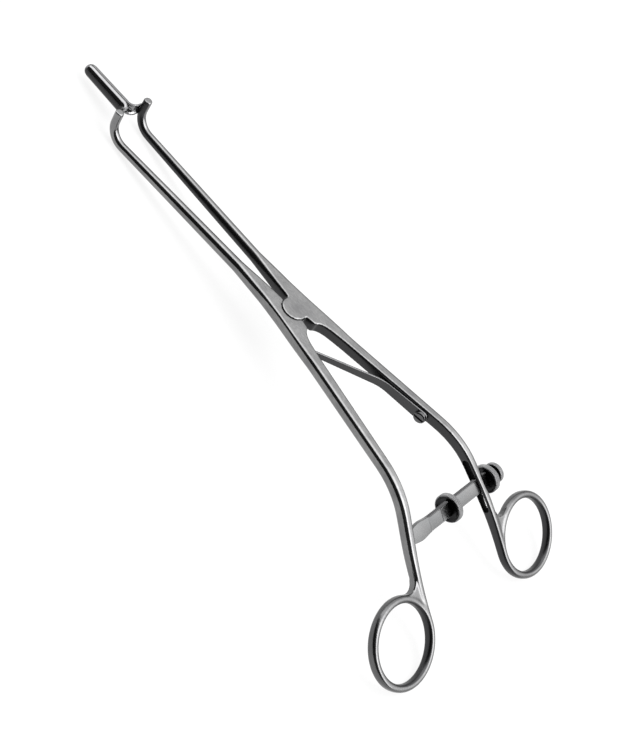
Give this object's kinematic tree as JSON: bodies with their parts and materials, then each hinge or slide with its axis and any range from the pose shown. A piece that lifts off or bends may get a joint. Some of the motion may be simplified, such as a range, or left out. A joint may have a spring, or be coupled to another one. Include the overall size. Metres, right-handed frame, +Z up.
{
  "type": "endocervical speculum",
  "caption": "Ring-handled surgical speculum: lap-jointed arms, half-tube blades that open when the handles are squeezed, a leaf spring and a threaded bar with a dished nut.",
  "frame": {"origin": "bottom centre of the bounding box, on the ground the part rests on with both finger rings and both elbows", "axes": "+Y from the finger rings towards the blade tips, +X towards the arm with the leaf spring and the slot, +Z up"},
  "size_m": [0.1072, 0.2396, 0.0298],
  "materials": {
    "forged_steel": "satin polished stainless steel",
    "blade_steel": "bright polished stainless steel",
    "pin_steel": "ground stainless steel",
    "spring_steel": "dark satin spring steel",
    "bar_steel": "satin stainless steel, threaded",
    "nut_steel": "knurled stainless steel with turned dished faces"
  },
  "bodies": {
    "left_arm": {"arm_left": "forged_steel", "blade_left": "blade_steel", "pivot_pin": "pin_steel", "bar_pin": "pin_steel"},
    "right_arm": {"arm_right": "forged_steel", "blade_right": "blade_steel", "spring_leaf": "spring_steel", "spring_screw": "spring_steel"},
    "bar": {"screw_bar": "bar_steel", "end_knob": "nut_steel"},
    "inner_nut": {"inner_nut": "nut_steel"},
    "outer_nut": {"outer_nut": "nut_steel"}
  },
  "joints": [
    {"name": "handle_squeeze", "type": "hinge", "parent": "left_arm", "child": "right_arm", "pos_m": [0, 0.0057, 0.01488], "axis": [0, -0.1648, -0.9863], "range_deg": [0, 9], "stiffness_Nm_per_rad": 1.5, "springref_deg": -2.86, "deforming": ["spring_leaf"]},
    {"name": "bar_swing", "type": "hinge", "parent": "left_arm", "child": "bar", "pos_m": [-0.02065, -0.07898, 0.02073], "axis": [0, -0.1648, -0.9863], "range_deg": [0, 4.5]},
    {"name": "outer_nut_run", "type": "slide", "parent": "bar", "child": "outer_nut", "axis": [0.9998, -0.0157, -0.0077], "range_m": [-0.0134, 0]},
    {"name": "inner_nut_run", "type": "slide", "parent": "bar", "child": "inner_nut", "axis": [0.9998, -0.0157, -0.0077], "range_m": [-0.011, 0]}
  ],
  "couplings": [
    {"joint": "bar_swing", "follows": "handle_squeeze", "ratio": 0.5},
    {"joint": "outer_nut_run", "follows": "handle_squeeze", "m_per_rad": -0.0853}
  ]
}
